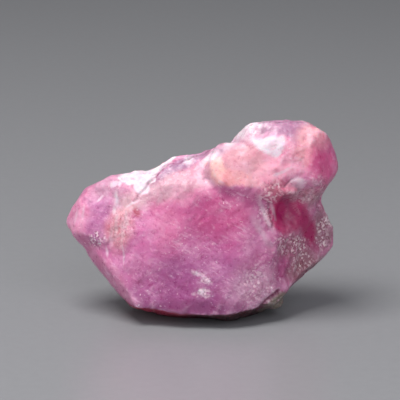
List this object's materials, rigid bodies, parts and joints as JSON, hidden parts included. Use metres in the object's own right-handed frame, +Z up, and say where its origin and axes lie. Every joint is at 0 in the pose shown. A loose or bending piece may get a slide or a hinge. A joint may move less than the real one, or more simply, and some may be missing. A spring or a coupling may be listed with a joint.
{
  "type": "raw ruby crystal",
  "caption": "Rough natural corundum crystal: broad front face, pointed left end, ridge rising to a rounded crown at the right, flat resting foot.",
  "frame": {"origin": "middle of the bounding box's underside, on the surface the crystal rests on", "axes": "+Z up, +X along the length from the pointed end to the crowned end, -Y out of the broad front face"},
  "size_m": [0.0324, 0.0166, 0.0234],
  "materials": {
    "ruby": "raw milky pink corundum, waxy lustre with frosted and sparkling spots"
  },
  "bodies": {
    "root": {"ruby_crystal": "ruby"}
  },
  "joints": []
}
